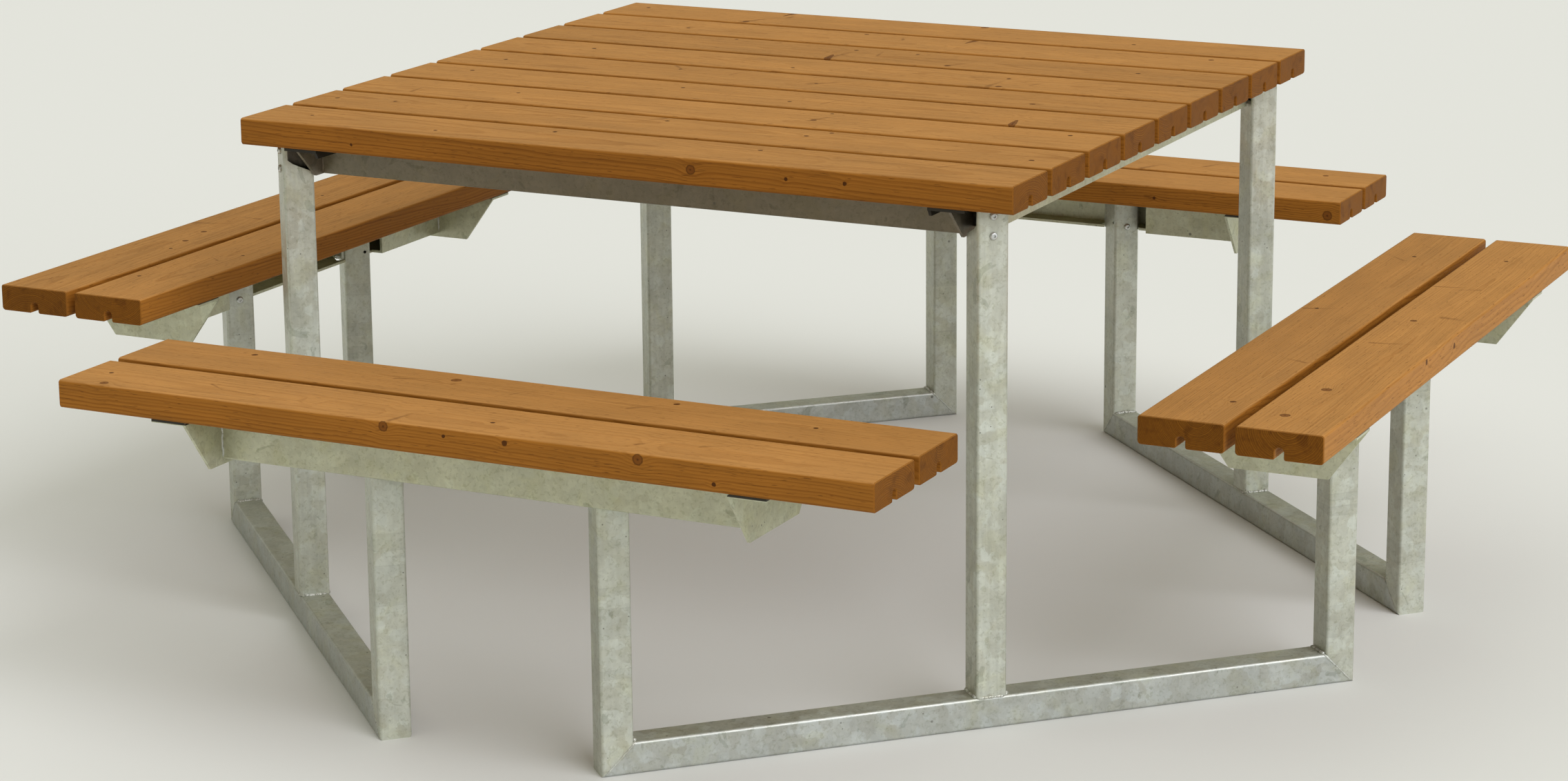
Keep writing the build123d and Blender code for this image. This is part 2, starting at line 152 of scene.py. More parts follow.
# Weld beads: radii, distance kept from corners, depth sunk in the steel, length and least number of
# steps, and how far an upright bead starts above and stops below the ends of its seam
WELD_SEED = 7
FOOT_SIDE_BEAD = 1.7 * MM
FOOT_END_BEAD = 2.6 * MM
MITRE_SIDE_BEAD = 1.25 * MM
MITRE_TOP_BEAD = 2.6 * MM
MITRE_END_BEAD = 1.0 * MM
BENCH_BEAD = 1.7 * MM
TABLE_BEAD = 1.3 * MM
BEAD_INSET = 3 * MM
BEAD_SUNK = 0.5 * MM
BEAD_STEP = 1.2 * MM
BEAD_LIFT = 2 * MM
LEAST_STEPS = 6
BENCH_BEAD_DROP = 6 * MM
TABLE_BEAD_DROP = 8 * MM

# The shape of a bead: waves in radians per mm along it, and sizes as shares of its radius. A lump is
# its size, and its place as a share of the bead's length.
SLOW_WAVE = 0.21
QUICK_WAVE = 0.53
SWELL_WAVE = 0.7
RIPPLE_WAVE = 1.9
WANDER = 0.35
QUICK_WANDER = 0.6
SWELL = 0.10
RIPPLE = 0.16
THIN_END = 0.35
END_GROWTH = 6
START_LUMP = (0.25, 0.08)
STOP_LUMP = (0.45, 0.93)
LUMP_SHARPNESS = 9


# ---------------------------------------------------------------- camera and light

def make_camera():
    data = bpy.data.cameras.new("camera")
    data.lens = LENS_MM
    data.sensor_width = SENSOR_MM
    data.sensor_fit = "HORIZONTAL"
    data.shift_x, data.shift_y = CAMERA_SHIFT
    data.clip_end = CAMERA_SIGHT
    camera = bpy.data.objects.new("camera", data)
    turn = (Matrix.Rotation(CAMERA_YAW, 4, "Z")
            @ Matrix.Rotation(math.pi / 2 + CAMERA_PITCH, 4, "X")
            @ Matrix.Rotation(CAMERA_ROLL, 4, "Z"))
    camera.matrix_world = Matrix.Translation(CAMERA_PLACE) @ turn
    scene.collection.objects.link(camera)
    scene.camera = camera


def soft_sun(name, toward, spread, strength, colour):
    """A light of even strength over the whole stage. Its spread softens the shadows."""
    light = bpy.data.lights.new(name, "SUN")
    light.energy = strength
    light.angle = math.radians(spread)
    light.color = colour
    lamp = bpy.data.objects.new(name, light)
    lamp.rotation_euler = Vector(toward).to_track_quat("Z", "Y").to_euler()
    scene.collection.objects.link(lamp)


def make_lights():
    soft_sun("overhead", toward=(-0.15, 0.1, 1.0), spread=100, strength=1.40, colour=(1.0, 1.0, 0.97))
    soft_sun("key", toward=(0.77, -0.28, 0.57), spread=50, strength=2.4, colour=(0.945, 0.955, 1.0))
    world = bpy.data.worlds.new("studio")
    world.use_nodes = True
    background = world.node_tree.nodes["Background"]
    background.inputs["Color"].default_value = SKY_COLOUR
    background.inputs["Strength"].default_value = SKY_STRENGTH
    scene.world = world


def make_floor():
    mesh = bpy.data.meshes.new("floor")
    corners = [(FLOOR_HALF * x, FLOOR_HALF * y, 0) for x, y in ((-1, -1), (1, -1), (1, 1), (-1, 1))]
    mesh.from_pydata(corners, [], [(0, 1, 2, 3)])
    floor = bpy.data.objects.new("floor", mesh)
    scene.collection.objects.link(floor)
    paint, _, shader = new_material("pale_floor")
    shader.inputs["Base Color"].default_value = FLOOR_COLOUR
    shader.inputs["Roughness"].default_value = 0.9
    mesh.materials.append(paint)


# ---------------------------------------------------------------- node helpers

def put(socket, value):
    """Links a socket to an input, or sets the input's own value."""
    if isinstance(value, bpy.types.NodeSocket):
        socket.id_data.links.new(value, socket)
    else:
        socket.default_value = value


def add_node(tree, kind, settings=None, **inputs):
    """A node with its settings and inputs. Input names are given with _ for spaces."""
    made = tree.nodes.new(kind)
    for key, value in (settings or {}).items():
        setattr(made, key, value)
    for key, value in inputs.items():
        put(made.inputs[key.replace("_", " ")], value)
    return made


def maths(tree, operation, *values, clamp=False):
    made = tree.nodes.new("ShaderNodeMath")
    made.operation = operation
    made.use_clamp = clamp
    for socket, value in zip(made.inputs, values):
        put(socket, value)
    return made.outputs[0]


def product(tree, first, *others):
    for other in others:
        first = maths(tree, "MULTIPLY", first, other)
    return first


def linear(tree, value, slope, start):
    """The value times the slope, plus the start."""
    return maths(tree, "MULTIPLY_ADD", value, slope, start)


def vectors(tree, operation, *values):
    made = tree.nodes.new("ShaderNodeVectorMath")
    made.operation = operation
    for socket, value in zip(made.inputs, values):
        put(socket, value)
    return made


def fade(tree, value, low, high, start=0.0, end=1.0):
    """Smooth change from start to end while the value goes from low to high."""
    made = tree.nodes.new("ShaderNodeMapRange")
    made.interpolation_type = "SMOOTHSTEP"
    for socket, number in zip(made.inputs, (value, low, high, start, end)):
        put(socket, number)
    return made.outputs[0]


def blend(tree, kind, factor, first, second):
    made = tree.nodes.new("ShaderNodeMix")
    made.data_type = "RGBA"
    made.blend_type = kind
    colours = [socket for socket in made.inputs if socket.type == "RGBA"]
    put(made.inputs[0], factor)
    put(colours[0], first)
    put(colours[1], second)
    return next(socket for socket in made.outputs if socket.type == "RGBA")


def noise(tree, vector, scale, detail=2.0, distortion=0.0, roughness=0.5):
    made = add_node(tree, "ShaderNodeTexNoise", Vector=vector, Scale=scale, Detail=detail,
                    Roughness=roughness, Distortion=distortion)
    return made.outputs["Fac"]


def grain(tree, vector, stretch, detail, distortion=0.0):
    """Noise with its own number of waves per mm on each axis."""
    stretched = vectors(tree, "MULTIPLY", vector, stretch).outputs[0]
    return noise(tree, stretched, 1.0, detail, distortion)


def grey(tree, value):
    return add_node(tree, "ShaderNodeCombineColor", Red=value, Green=value, Blue=value).outputs[0]


def new_group(name, inputs, outputs):
    """An empty node group, its input node and its output node."""
    group = bpy.data.node_groups.new(name, "ShaderNodeTree")
    kinds = {"v": "NodeSocketVector", "f": "NodeSocketFloat", "c": "NodeSocketColor"}
    for label, kind in inputs:
        group.interface.new_socket(label, in_out="INPUT", socket_type=kinds[kind])
    for label, kind in outputs:
        group.interface.new_socket(label, in_out="OUTPUT", socket_type=kinds[kind])
    return group, group.nodes.new("NodeGroupInput"), group.nodes.new("NodeGroupOutput")


def use_group(tree, group, **inputs):
    made = tree.nodes.new("ShaderNodeGroup")
    made.node_tree = group
    for key, value in inputs.items():
        put(made.inputs[key.replace("_", " ")], value)
    return made


def new_material(name):
    paint = bpy.data.materials.new(name)
    paint.use_nodes = True
    return paint, paint.node_tree, paint.node_tree.nodes["Principled BSDF"]


def wear(name, material):
    """Gives a CAD node its material."""
    materials = frame["nodes"][name].data.materials
    materials.clear()
    materials.append(material)


# ---------------------------------------------------------------- stained softwood

def knot_group():
    """A branch through the plank. Gives how far the grain bends round it, its wood and its dark parts."""
    group, given, result = new_group(
        "knot", [("Place", "v"), ("Root", "v"), ("Direction", "v"), ("Reach", "f"), ("Size", "f")],
        [("Bend", "f"), ("Mask", "f"), ("Rim", "f")])
    offset = vectors(group, "SUBTRACT", given.outputs["Place"], given.outputs["Root"]).outputs[0]
    along = vectors(group, "DOT_PRODUCT", offset, given.outputs["Direction"]).outputs["Value"]
    on_axis = vectors(group, "SCALE", given.outputs["Direction"])
    put(on_axis.inputs["Scale"], along)
    away = vectors(group, "SUBTRACT", offset, on_axis.outputs[0]).outputs[0]
    ragged = noise(group, given.outputs["Place"], 0.22, 3.0)
    distance = maths(group, "ADD", vectors(group, "LENGTH", away).outputs["Value"],
                     linear(group, ragged, 2.4, -1.2))
    radius = product(group, given.outputs["Size"],
                     maths(group, "DIVIDE", along, given.outputs["Reach"], clamp=True))
    share = maths(group, "DIVIDE", distance, maths(group, "MAXIMUM", radius, 0.3))
    far = maths(group, "DIVIDE", distance, product(group, given.outputs["Size"], 2.6))
    bend = maths(group, "EXPONENT", product(group, maths(group, "POWER", far, 2.0), -1.0))
    put(result.inputs["Bend"], product(group, bend, given.outputs["Size"]))
    mask = fade(group, share, 0.82, 1.12, 1.0, 0.0)
    put(result.inputs["Mask"], mask)
    rim = product(group, fade(group, share, 0.74, 0.95), fade(group, share, 0.95, 1.2, 0.75, 0.0))
    heart = fade(group, share, 0.10, 0.34, 0.8, 0.0)
    small = product(group, mask, fade(group, given.outputs["Size"], 3.0, 5.5, 1.0, 0.0))
    dark = maths(group, "MAXIMUM", rim, maths(group, "MAXIMUM", heart, small))
    put(result.inputs["Rim"], dark)
    return group


def streak_group():
    """A dark feathery line from one point to another: a spike knot, a pitch pocket or a crack."""
    group, given, result = new_group(
        "streak", [("Place", "v"), ("Start", "v"), ("Run", "v"), ("Width", "f")], [("Mask", "f")])
    offset = vectors(group, "SUBTRACT", given.outputs["Place"], given.outputs["Start"]).outputs[0]
    length = vectors(group, "LENGTH", given.outputs["Run"]).outputs["Value"]
    along = vectors(group, "DOT_PRODUCT", offset, given.outputs["Run"]).outputs["Value"]
    share = maths(group, "DIVIDE", along, maths(group, "POWER", length, 2.0), clamp=True)
    on_line = vectors(group, "SCALE", given.outputs["Run"])
    put(on_line.inputs["Scale"], share)
    away = vectors(group, "SUBTRACT", offset, on_line.outputs[0]).outputs[0]
    jitter = noise(group, given.outputs["Place"], 0.09, 4.0, 0.0, 0.7)
    swing = linear(group, jitter, 2.4, -1.0)
    distance = maths(group, "DIVIDE", vectors(group, "LENGTH", away).outputs["Value"],
                     given.outputs["Width"])
    wedge = maths(group, "ADD", distance, product(group, share, 0.9))
    mask = fade(group, maths(group, "ADD", wedge, swing), 0.0, 2.1, 1.0, 0.0)
    put(result.inputs["Mask"], product(group, mask, fade(group, share, 0.2, 1.0, 1.0, 0.25)))
    return group


def growth_rings(group, given, place, seed):
    """How dark the ring is at each place, and the place moved by the plank's seed."""
    shift = add_node(group, "ShaderNodeCombineXYZ", X=product(group, seed, 977.0),
                     Y=product(group, seed, 331.0), Z=seed).outputs[0]
    seeded = vectors(group, "ADD", place, shift).outputs[0]
    split = add_node(group, "ShaderNodeSeparateXYZ", Vector=place)
    sway = linear(group, grain(group, seeded, (0.0028, 0.004, 0.004), 2.0), 26.0, -13.0)
    across = maths(group, "SUBTRACT", split.outputs["Y"], given.outputs["Pith Y"])
    across = maths(group, "ADD", across, sway)
    up = maths(group, "SUBTRACT", split.outputs["Z"], given.outputs["Pith Z"])
    distance = maths(group, "SQRT", maths(group, "ADD", maths(group, "POWER", across, 2.0),
                                          maths(group, "POWER", up, 2.0)))
    waver = grain(group, seeded, (0.012, 0.05, 0.05), 3.0)
    distance = maths(group, "ADD", distance, linear(group, waver, 5.0, -2.5))
    distance = linear(group, split.outputs["X"], given.outputs["Taper"], distance)
    distance = maths(group, "ADD", distance, given.outputs["Bend"])
    spot = add_node(group, "ShaderNodeCombineXYZ", X=distance, Y=seed).outputs[0]
    uneven = noise(group, spot, 0.11, 2.0)
    spacing = product(group, given.outputs["Ring"], linear(group, given.outputs["End"], -0.35, 1.0))
    turns = linear(group, uneven, 1.9, maths(group, "DIVIDE", distance, spacing))
    phase = maths(group, "FRACT", turns)
    ring = add_node(group, "ShaderNodeCombineXYZ", X=maths(group, "FLOOR", turns), Y=seed).outputs[0]
    strength = fade(group, noise(group, ring, 3.7, 1.0), 0.25, 0.75, 0.35, 1.0)
    late = product(group, fade(group, phase, 0.35, 0.9), fade(group, phase, 0.93, 1.0, 1.0, 0.0), strength)
    return late, seeded


def wood_group():
    """Growth rings round a pith that runs along the plank, cut by the plank's own shape."""
    group, given, result = new_group(
        "stained_softwood",
        [("Place", "v"), ("Pith Y", "f"), ("Pith Z", "f"), ("Ring", "f"), ("Seed", "f"), ("Taper", "f"),
         ("Bend", "f"), ("Knot", "f"), ("Rim", "f"), ("Streak", "f"), ("End", "f"), ("Top", "f"),
         ("Tone", "f")],
        [("Color", "c"), ("Roughness", "f"), ("Height", "f")])
    place = given.outputs["Place"]
    seed = given.outputs["Seed"]
    late, seeded = growth_rings(group, given, place, seed)

    fibre = grain(group, seeded, (0.02, 1.4, 1.4), 3.0)
    long_fibre = grain(group, seeded, (0.004, 0.35, 0.35), 2.0)
    blotch = grain(group, seeded, (0.008, 0.02, 0.02), 3.0)
    dash = fade(group, grain(group, seeded, (0.07, 0.9, 0.9), 0.0), 0.735, 0.79)

    side = blend(group, "MIX", late, *SIDE_WOOD)
    # Faces that look up get a paler, greyer colour with weaker rings: painted light and sheen
    top = blend(group, "MIX", product(group, late, 0.62), *LIT_TOP_WOOD)
    damp = fade(group, grain(group, seeded, (0.02, 0.045, 0.045), 4.0, 0.6), 0.52, 0.70)
    end = blend(group, "MULTIPLY", damp, blend(group, "MIX", late, *END_WOOD), DAMP)
    colour = blend(group, "MIX", given.outputs["Top"], side, top)
    colour = blend(group, "MIX", given.outputs["End"], colour, end)
    tone = product(group, linear(group, fibre, 0.24, 0.88), linear(group, long_fibre, 0.40, 0.80),
                   linear(group, blotch, 0.34, 0.83), given.outputs["Tone"])
    colour = blend(group, "MULTIPLY", 1.0, colour, grey(group, tone))
    not_end = maths(group, "SUBTRACT", 1.0, given.outputs["End"])
    for mark, strength, brown in ((product(group, dash, not_end), 0.6, DASH_BROWN),
                                  (given.outputs["Knot"], 0.80, KNOT_BROWN),
                                  (given.outputs["Streak"], 0.52, STREAK_BROWN),
                                  (given.outputs["Rim"], 0.86, RIM_BROWN)):
        colour = blend(group, "MIX", product(group, mark, strength), colour, brown)
    put(result.inputs["Color"], colour)
    put(result.inputs["Roughness"], linear(group, blotch, 0.16, 0.46))
    height = product(group, late, 0.07)
    for mark, rise in ((fibre, 0.16), (dash, -0.15), (given.outputs["Rim"], -0.12)):
        height = linear(group, mark, rise, height)
    put(result.inputs["Height"], height)
    return group


def wood_material(plank, groups, board):
    """Stained softwood for one plank, in mm: x along it, y across it, z up from its underside."""
    low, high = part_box(plank)
    span = high - low
    lengthwise_x = span.x > span.y
    middle = (low + high) / 2
    paint, tree, shader = new_material(f"wood_{plank}")
    coordinates = add_node(tree, "ShaderNodeTexCoord")
    local = tree.nodes.new("ShaderNodeMapping")
    local.vector_type = "TEXTURE"
    put(local.inputs["Vector"], coordinates.outputs["Object"])
    local.inputs["Location"].default_value = (middle.x, middle.y, low.z)
    local.inputs["Rotation"].default_value = (0, 0, 0 if lengthwise_x else math.pi / 2)
    local.inputs["Scale"].default_value = (MM, MM, MM)
    place = local.outputs[0]
    bend, knot, rim, streak = 0.0, 0.0, 0.0, 0.0
    for along, across, up, size in board["knots"]:
        root, direction, reach = branch((along, across, up))
        made = use_group(tree, groups["knot"], Place=place, Root=root, Direction=direction,
                         Reach=reach, Size=size)
        bend = maths(tree, "ADD", bend, made.outputs["Bend"])
        knot = maths(tree, "MAXIMUM", knot, made.outputs["Mask"])
        rim = maths(tree, "MAXIMUM", rim, made.outputs["Rim"])
    for start, finish, width in board["streaks"]:
        run = tuple(there - here for here, there in zip(start, finish))
        made = use_group(tree, groups["streak"], Place=place, Start=start, Run=run, Width=width)
        streak = maths(tree, "MAXIMUM", streak, made.outputs["Mask"])
    normal = add_node(tree, "ShaderNodeNewGeometry").outputs["True Normal"]
    facing = add_node(tree, "ShaderNodeSeparateXYZ", Vector=normal)
    end = fade(tree, maths(tree, "ABSOLUTE", facing.outputs["X" if lengthwise_x else "Y"]), 0.55, 0.85)
    # Faces that look up take the top colour with its painted light and sheen
    top = fade(tree, facing.outputs["Z"], 0.35, 0.95)
    # Painted light: the +X side of these planks gets the top's lit colour
    if plank in LIT_RIGHT_SIDES:
        top = maths(tree, "MAXIMUM", top, fade(tree, facing.outputs["X"], 0.5, 0.9, 0.0, 0.65))
    wood = use_group(tree, groups["wood"], Place=place, Pith_Y=board["pith"][0], Pith_Z=board["pith"][1],
                     Ring=board["ring"], Seed=board["seed"], Taper=board["taper"], Bend=bend, Knot=knot,
                     Rim=rim, Streak=streak, End=end, Top=top, Tone=board["tone"])
    put(shader.inputs["Base Color"], wood.outputs["Color"])
    put(shader.inputs["Roughness"], wood.outputs["Roughness"])
    shader.inputs["Specular IOR Level"].default_value = 0.09
    bump = add_node(tree, "ShaderNodeBump", Strength=1.0, Distance=MM, Height=wood.outputs["Height"])
    put(shader.inputs["Normal"], bump.outputs[0])
    return paint


# Knots are (along, across, up, radius) and streaks (start, finish, width), all in mm in the plank.
# Across is -SIDE on the face towards -Y, or towards +X where the plank runs along Y.
KNOTS = {
    "table_plank_1": [(124, -SIDE, 22, 6.2), (264, -SIDE, 21, 2.5), (349, -SIDE, 22, 2.8),
                      (-403, -SIDE, 14, 2), (-286, -27, TOP, 2.6), (-131, 31, TOP, 3.2),
                      (185, 26, TOP, 3), (-504, 1, TOP, 2.6)],
    "table_plank_2": [(-547, 1, TOP, 3.4), (-456, 11, TOP, 2.6), (196, 13, TOP, 3.4), (-29, 35, TOP, 3.2),
                      (219, 45, TOP, 2.8), (540, -20, TOP, 3.6)],
    "table_plank_3": [(154, -8, TOP, 4.2), (157, 46, TOP, 2.6), (522, 30, TOP, 3.4),
                      (-330, 12, TOP, 2.8)],
    "table_plank_4": [(-132, 17, TOP, 3), (417, -52, TOP, 5), (-490, 20, TOP, 3.4), (60, -22, TOP, 2.8)],
    "table_plank_5": [(-494, -4, TOP, 3.4), (30, -3, TOP, 3), (384, -31, TOP, 4.2), (-210, 26, TOP, 2.6)],
    "table_plank_6": [(-62, -24, TOP, 3), (272, 18, TOP, 3), (284, -49, TOP, 4.5), (-420, 8, TOP, 3.2)],
    "table_plank_7": [(61, 29, TOP, 3), (143, -44, TOP, 4.6), (-258, 45, TOP, 2.8), (-52, -52, TOP, 5),
                      (-41, 26, TOP, 3.4), (430, 6, TOP, 3.4)],
    "table_plank_8": [(-91, 40, TOP, 3.6), (91, 52, TOP, 5), (488, 32, TOP, 4), (-380, -15, TOP, 3.2)],
    "table_plank_9": [(-539, 15, TOP, 3.6), (-289, 52, TOP, 4.5), (53, 48, TOP, 6), (-325, -50, TOP, 5),
                      (330, -12, TOP, 3.2)],
    "front_bench_plank_outer": [(-90, -SIDE, 31, 6.4), (-2, -SIDE, 28, 2.4), (86, -SIDE, 29, 3.6),
                                (273, -SIDE, 30, 6.8), (377, -SIDE, 11, 2.8), (-525, -46, TOP, 5.5),
                                (-548, 1, TOP, 3), (40, -8, TOP, 3)],
    "front_bench_plank_inner": [(-112, 25, TOP, 6.5), (208, 36, TOP, 4), (420, 5, TOP, 3.2),
                                (-430, 30, TOP, 4)],
    "right_bench_plank_outer": [(-374, 10, TOP, 6.8), (-516, 18, TOP, 6.5), (35, 18, TOP, 4.6),
                                (451, 2, TOP, 3.2), (-156, -SIDE, 31, 4), (-25, -SIDE, 24, 4)],
    "right_bench_plank_inner": [(51, 34, TOP, 3), (427, 6, TOP, 3.2), (-480, -30, TOP, 4)],
    "back_bench_plank_inner": [(568, -SIDE, 14, 7.5), (272, -SIDE, 18, 2.6), (-60, 20, TOP, 4),
                               (120, -20, TOP, 3)],
}
STREAKS = {
    "table_plank_2": [((-40, 50, TOP), (-70, 10, TOP), 3)],
    "table_plank_3": [((150, -14, TOP), (178, 52, TOP), 3)],
    "table_plank_5": [((22, -12, TOP), (84, 44, TOP), 4), ((-230, 50, TOP), (-190, 10, TOP), 3)],
    "table_plank_6": [((268, -54, TOP), (274, 14, TOP), 4)],
    "table_plank_7": [((-52, -54, TOP), (-34, 34, TOP), 5), ((143, -48, TOP), (168, 0, TOP), 3.4)],
    "table_plank_9": [((-328, -54, TOP), (-288, 22, TOP), 5)],
    "front_bench_plank_outer": [((-392, 6, TOP), (-360, -14, TOP), 2),
                                ((-365, -12, TOP), (-30, -30, TOP), 0.8),
                                ((-84, -52, TOP), (-72, 6, TOP), 3.4),
                                ((330, 0, TOP), (372, 26, TOP), 2.4)],
    "front_bench_plank_inner": [((-190, 0, TOP), (-130, 22, TOP), 3),
                                ((160, -8, TOP), (204, 30, TOP), 2.4)],
    "right_bench_plank_outer": [((70, -14, TOP), (61, -56, TOP), 6),
                                ((-110, 34, TOP), (-94, -40, TOP), 3),
                                ((250, 50, TOP), (262, -8, TOP), 3)],
    "right_bench_plank_inner": [((44, 50, TOP), (66, -6, TOP), 3),
                                ((-250, -50, TOP), (-236, -10, TOP), 3)],
    "left_bench_plank_outer": [((-120, 50, TOP), (-96, -20, TOP), 4)],
    "back_bench_plank_outer": [((200, -54, TOP), (228, 0, TOP), 5)],
    "back_bench_plank_inner": [((60, -40, TOP), (82, 20, TOP), 3),
                               ((256, -SIDE, 20), (302, -SIDE, 14), 2.4)],
}
# Planks whose side towards +X takes the colour of their top: painted light from the right
LIT_RIGHT_SIDES = ("right_bench_plank_outer",)
# Where the pith lies (across, up) in planks whose end shows it near the top
PITHS = {"right_bench_plank_outer": (-11, 44), "right_bench_plank_inner": (-22, 47)}


def branch(spot):
    """Root, direction and reach of the branch that comes out at a spot, nearly square to that face."""
    along, across, up = spot
    if abs(across) > SIDE - SIDE_MARGIN:
        root = Vector((along - SIDE_LEAN, 0, up - SIDE_CLIMB))
    else:
        root = Vector((along - TOP_LEAN, across * TOP_SPREAD, up - math.copysign(TOP, up - 1)))
    run = Vector(spot) - root
    return root, run.normalized(), run.length


def drawn_knots(draw, top_is_known):
    """Knots at random: some on both faces, or a few on the underside of a plank whose top is known."""
    drawn = [(draw.uniform(-KNOT_ALONG, KNOT_ALONG), draw.uniform(-KNOT_ACROSS, KNOT_ACROSS),
              draw.choice((TOP, TOP, 0)), draw.choice(KNOT_SIZES))
             for _ in range(FEW_KNOTS if top_is_known else MANY_KNOTS)]
    if top_is_known:
        drawn = [(along, across, 0, radius) for along, across, _, radius in drawn]
    return drawn


def drawn_streaks(draw):
    along = draw.uniform(-STREAK_ALONG, STREAK_ALONG)
    across = draw.uniform(*STREAK_START)
    start = (along, across, TOP)
    finish = (along + draw.uniform(-STREAK_SLANT, STREAK_SLANT), across + draw.uniform(*STREAK_SPAN), TOP)
    return [(start, finish, draw.choice(STREAK_WIDTHS))]


def finish_planks():
    groups = {"knot": knot_group(), "streak": streak_group(), "wood": wood_group()}
    draw = random.Random(PLANK_SEED)
    names = sorted(name for name in frame["nodes"] if name.startswith("table_plank"))
    names += [f"{side}_bench_plank_{place}" for side in SIDE_NAMES for place in ("inner", "outer")]
    for index, name in enumerate(names):
        known = KNOTS.get(name, [])
        pith = (draw.uniform(-PITH_ACROSS, PITH_ACROSS),
                draw.choice(ENDS) * draw.uniform(*PITH_AWAY) + TOP / 2)
        board = {"seed": index + 1.0,
                 "pith": PITHS.get(name, pith),
                 "ring": draw.uniform(*RING_WIDTH),
                 "tone": draw.uniform(*BOARD_TONE),
                 "taper": draw.choice(ENDS) * draw.uniform(*BOARD_TAPER),
                 "knots": known + drawn_knots(draw, bool(known)),
                 "streaks": STREAKS.get(name, []) + drawn_streaks(draw)}
        wear(name, wood_material(name, groups, board))


# ---------------------------------------------------------------- galvanised steel

def cells(tree, vector, scale, distort, reach):
    """Random value in each of many rounded patches."""
    push = add_node(tree, "ShaderNodeTexNoise", Vector=vector, Scale=distort, Detail=3.0).outputs["Color"]
    moved = vectors(tree, "ADD", vector, vectors(tree, "MULTIPLY", push, (reach, reach, reach)).outputs[0])
    found = add_node(tree, "ShaderNodeTexVoronoi", {"feature": "SMOOTH_F1"}, Vector=moved.outputs[0],
                     Scale=scale, Smoothness=0.25)
    return add_node(tree, "ShaderNodeSeparateColor", Color=found.outputs["Color"]).outputs[0]


def specks(tree, place, scale, share, size):
    """Round dots of one size, in a share of the cells."""
    found = add_node(tree, "ShaderNodeTexVoronoi", Vector=place, Scale=scale)
    pick = add_node(tree, "ShaderNodeSeparateColor", Color=found.outputs["Color"]).outputs[1]
    dot = fade(tree, found.outputs["Distance"], size * 0.5, size, 1.0, 0.0)
    return product(tree, dot, fade(tree, pick, 1 - share, 1.02 - share))


def dip_marks(group, place, bands):
    """Level steps in tone, with a line on each, where the steel stood in the zinc bath."""
    level = grain(group, place, (0.0007, 0.0007, 0.022), 1.0)
    step = fade(group, level, 0.560, 0.564)
    from_step = maths(group, "ABSOLUTE", maths(group, "SUBTRACT", level, 0.562))
    line = fade(group, from_step, 0.0, 0.006, 1.0, 0.0)
    streaky = fade(group, grain(group, place, (0.03, 0.03, 0.006), 2.0), 0.3, 0.6, 0.4, 1.0)
    return product(group, maths(group, "ADD", step, line), streaky, bands)


def zinc_group():
    """Hot-dip zinc: cloudy patches, vertical runs, level dip marks, ash specks and smears, with painted
    shade and more roughness, as from dust, on faces that look up, and a painted highlight on rounded edges.
    """
    group, given, result = new_group(
        "galvanised",
        [("Place", "v"), ("Tint", "c"), ("Runs", "f"), ("Bands", "f"), ("Dirt", "f"), ("Edge", "f")],
        [("Color", "c"), ("Roughness", "f"), ("Height", "f")])
    place = given.outputs["Place"]
    patch = cells(group, place, 0.060, 0.05, 24.0)
    spangle = cells(group, place, 0.14, 0.15, 8.0)
    cloud = noise(group, place, 0.016, 3.0, 0.6)
    fine = noise(group, place, 0.30, 3.0, 0.0, 0.6)
    runs = fade(group, grain(group, place, (0.14, 0.14, 0.010), 3.0, 0.3), 0.35, 0.65)
    run_tone = maths(group, "POWER", linear(group, runs, 0.14, 0.93), given.outputs["Runs"])
    mark = dip_marks(group, place, given.outputs["Bands"])
    tone = product(group, linear(group, patch, 0.20, 0.90), linear(group, spangle, 0.10, 0.95),
                   linear(group, fade(group, cloud, 0.3, 0.7), 0.12, 0.94),
                   linear(group, fine, 0.10, 0.95), run_tone, linear(group, mark, -0.14, 1.0))
    colour = blend(group, "MULTIPLY", 1.0, given.outputs["Tint"], grey(group, tone))
    warm = fade(group, noise(group, place, 0.024, 3.0, 0.8), 0.48, 0.72)
    mottle = fade(group, noise(group, place, 0.20, 2.0, 0.8), 0.54, 0.66)
    blot = fade(group, noise(group, place, 0.019, 4.0, 1.2), 0.655, 0.668)
    for share, tint in ((patch, COOL_PATCH), (product(group, warm, 0.4), WARM_CLOUD), (mottle, MOTTLE),
                        (product(group, blot, 0.9), BLOT)):
        colour = blend(group, "MULTIPLY", share, colour, tint)
    ash = maths(group, "MAXIMUM", specks(group, place, 0.050, 0.20, 0.09),
                specks(group, place, 0.022, 0.35, 0.07))
    ash = maths(group, "MAXIMUM", ash, specks(group, place, 0.09, 0.16, 0.12))
    smear = fade(group, grain(group, place, (0.10, 0.10, 0.035), 4.0, 1.0), 0.70, 0.80)
    colour = blend(group, "MIX", product(group, ash, 0.72), colour, ASH)
    colour = blend(group, "MIX", product(group, smear, 0.35), colour, SMEAR)
    # Faces that look up are darkened with painted shade; the same mask makes them rougher, as dust does
    dust_and_shade = product(group, given.outputs["Dirt"], linear(group, cloud, 0.5, 0.55))
    colour = blend(group, "MULTIPLY", dust_and_shade, colour, UPWARD_SHADE)
    # Rounded edges that face partly up are lightened, broken by fine noise: a painted highlight
    highlight = product(group, given.outputs["Edge"], product(group, fine, 0.9))
    colour = blend(group, "MIX", highlight, colour, EDGE_HIGHLIGHT)
    put(result.inputs["Color"], colour)
    rough = linear(group, mark, -0.06, linear(group, patch, 0.14, 0.36))
    put(result.inputs["Roughness"], linear(group, dust_and_shade, 0.2, rough))
    height = product(group, fine, 0.12)
    for bump, rise in ((cloud, 1.4), (ash, 0.15), (spangle, 0.02)):
        height = linear(group, bump, rise, height)
    put(result.inputs["Height"], height)
    return group


